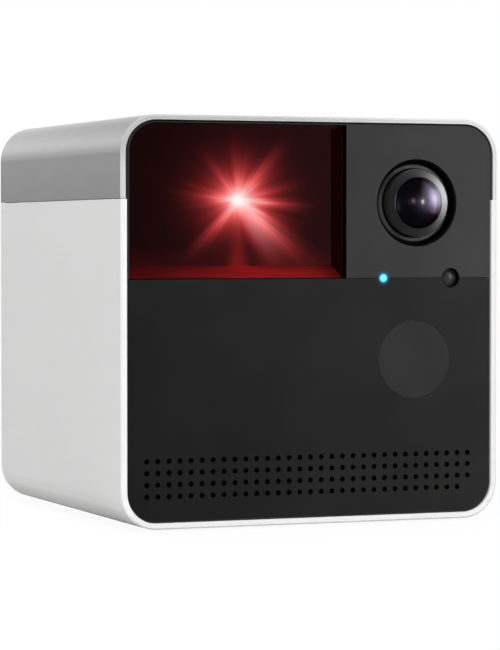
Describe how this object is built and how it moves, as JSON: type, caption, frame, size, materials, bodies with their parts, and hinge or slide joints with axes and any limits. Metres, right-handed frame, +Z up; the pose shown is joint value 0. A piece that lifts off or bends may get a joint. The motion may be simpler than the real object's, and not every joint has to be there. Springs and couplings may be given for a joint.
{
  "type": "pet camera",
  "caption": "Cube-shaped pet camera with a metal top sleeve, white lower sleeve, dark front with lens and speaker holes, and a laser turret behind a clear window.",
  "frame": {"origin": "on the surface that the camera stands on, under the middle of the case", "axes": "+X to the right seen from the front, +Y from the front to the back, +Z up"},
  "size_m": [0.081, 0.0822, 0.0816],
  "materials": {
    "satin_silver": "satin anodised",
    "white_shell": "fine matt",
    "foot_rubber": "matt",
    "brass_insert": "machined",
    "panel_grey": "satin, fine grain",
    "panel_black": "satin, fine grain",
    "black_plastic": "moulded",
    "chamber_black": "moulded, very dark",
    "smoked_window": "clear, faintly tinted",
    "screw_steel": "zinc plated",
    "motor_steel": "drawn can",
    "gear_white": "acetal",
    "laser_brass": "turned",
    "laser_glass": "red lit",
    "hood_grey": "satin",
    "ring_metal": "dark satin",
    "coated_glass": "coated, violet sheen",
    "filter_glass": "infrared blocking",
    "board_green": "solder mask",
    "chip_black": "moulded package",
    "led_glass": "clear epoxy",
    "cyan_light": "lit light pipe",
    "sensor_grey": "domed",
    "night_disc": "infrared clear plastic",
    "mesh_cloth": "acoustic mesh",
    "cone_paper": "pressed pulp",
    "surround_rubber": "soft",
    "basket_steel": "pressed",
    "magnet_dark": "plated",
    "heat_sink_black": "black anodised",
    "shield_tin": "tinned can",
    "capacitor_sleeve": "sleeved can",
    "connector_cream": "nylon",
    "ribbon_white": "laminated",
    "antenna_amber": "flexible circuit",
    "socket_steel": "nickel plated",
    "button_black": "satin"
  },
  "bodies": {
    "housing": {"upper_sleeve": "satin_silver", "lower_sleeve": "white_shell", "foot_pad": "foot_rubber", "tripod_insert": "brass_insert", "front_panel_upper": "panel_grey", "front_panel_lower": "panel_black", "front_frame": "black_plastic", "laser_window": "smoked_window", "laser_chamber": "chamber_black", "gimbal_bracket": "black_plastic", "pan_motor": "motor_steel", "lens_hood": "hood_grey", "lens_ring": "ring_metal", "front_glass": "coated_glass", "lens_barrel": "black_plastic", "inner_lens": "coated_glass", "lens_holder": "black_plastic", "filter_coil": "chip_black", "image_sensor": "chip_black", "camera_board": "board_green", "front_board": "board_green", "status_light_pipe": "cyan_light", "light_sensor": "chip_black", "light_sensor_lens": "sensor_grey", "front_leds": "led_glass", "night_window": "night_disc", "grille_cloth": "mesh_cloth", "speaker_box": "black_plastic", "speaker_lid": "black_plastic", "speaker_basket": "basket_steel", "speaker_surround": "surround_rubber", "speaker_magnet": "magnet_dark", "main_board": "board_green", "small_screws": "screw_steel", "board_chips": "chip_black", "heat_sink": "heat_sink_black", "wifi_module": "shield_tin", "capacitors": "capacitor_sleeve", "board_connectors": "connector_cream", "flat_cables": "ribbon_white", "wifi_antenna": "antenna_amber", "rear_cover": "panel_black", "case_screws": "screw_steel", "power_socket": "socket_steel", "power_socket_tongue": "chip_black", "reset_switch": "chip_black", "button_sleeve": "surround_rubber"},
    "laser_turret": {"turret_yoke": "black_plastic", "pan_gear": "gear_white", "tilt_motor": "motor_steel"},
    "laser_head": {"tilt_cradle": "gear_white", "laser_module": "laser_brass", "laser_shroud": "chamber_black", "laser_lens": "laser_glass"},
    "pan_drive": {"pan_pinion": "laser_brass"},
    "tilt_drive": {"tilt_pinion": "laser_brass"},
    "filter_slider": {"filter_blade": "black_plastic", "filter_glasses": "filter_glass"},
    "speaker_diaphragm": {"speaker_cone": "cone_paper"},
    "reset_button": {"reset_button": "button_black"}
  },
  "joints": [
    {"name": "laser_pan", "type": "hinge", "parent": "housing", "child": "laser_turret", "pos_m": [-0.014, -0.0252, 0.06505], "axis": [0, 0, 1], "range_deg": [-30, 30]},
    {"name": "laser_tilt", "type": "hinge", "parent": "laser_turret", "child": "laser_head", "pos_m": [-0.014, -0.0252, 0.06505], "axis": [1, 0, 0], "range_deg": [-20, 20]},
    {"name": "pan_drive_spin", "type": "hinge", "parent": "housing", "child": "pan_drive", "pos_m": [-0.014, -0.018, 0.06505], "axis": [0, 0, 1], "range_deg": [-90.5, 90.5]},
    {"name": "tilt_drive_spin", "type": "hinge", "parent": "laser_turret", "child": "tilt_drive", "pos_m": [-0.014, -0.0252, 0.05785], "axis": [1, 0, 0], "range_deg": [-60.5, 60.5]},
    {"name": "filter_slide", "type": "slide", "parent": "housing", "child": "filter_slider", "axis": [-1, 0, 0], "range_m": [0, 0.0065]},
    {"name": "cone_stroke", "type": "slide", "parent": "housing", "child": "speaker_diaphragm", "axis": [0, 1, 0], "range_m": [-0.0004, 0.0004], "stiffness_N_per_m": 400, "deforming": ["speaker_surround"]},
    {"name": "button_press", "type": "slide", "parent": "housing", "child": "reset_button", "axis": [0, -1, 0], "range_m": [0, 0.0008], "stiffness_N_per_m": 400, "springref_m": -0.001, "deforming": ["button_sleeve"]}
  ],
  "couplings": [
    {"joint": "pan_drive_spin", "follows": "laser_pan", "ratio": -3},
    {"joint": "tilt_drive_spin", "follows": "laser_tilt", "ratio": -3}
  ]
}
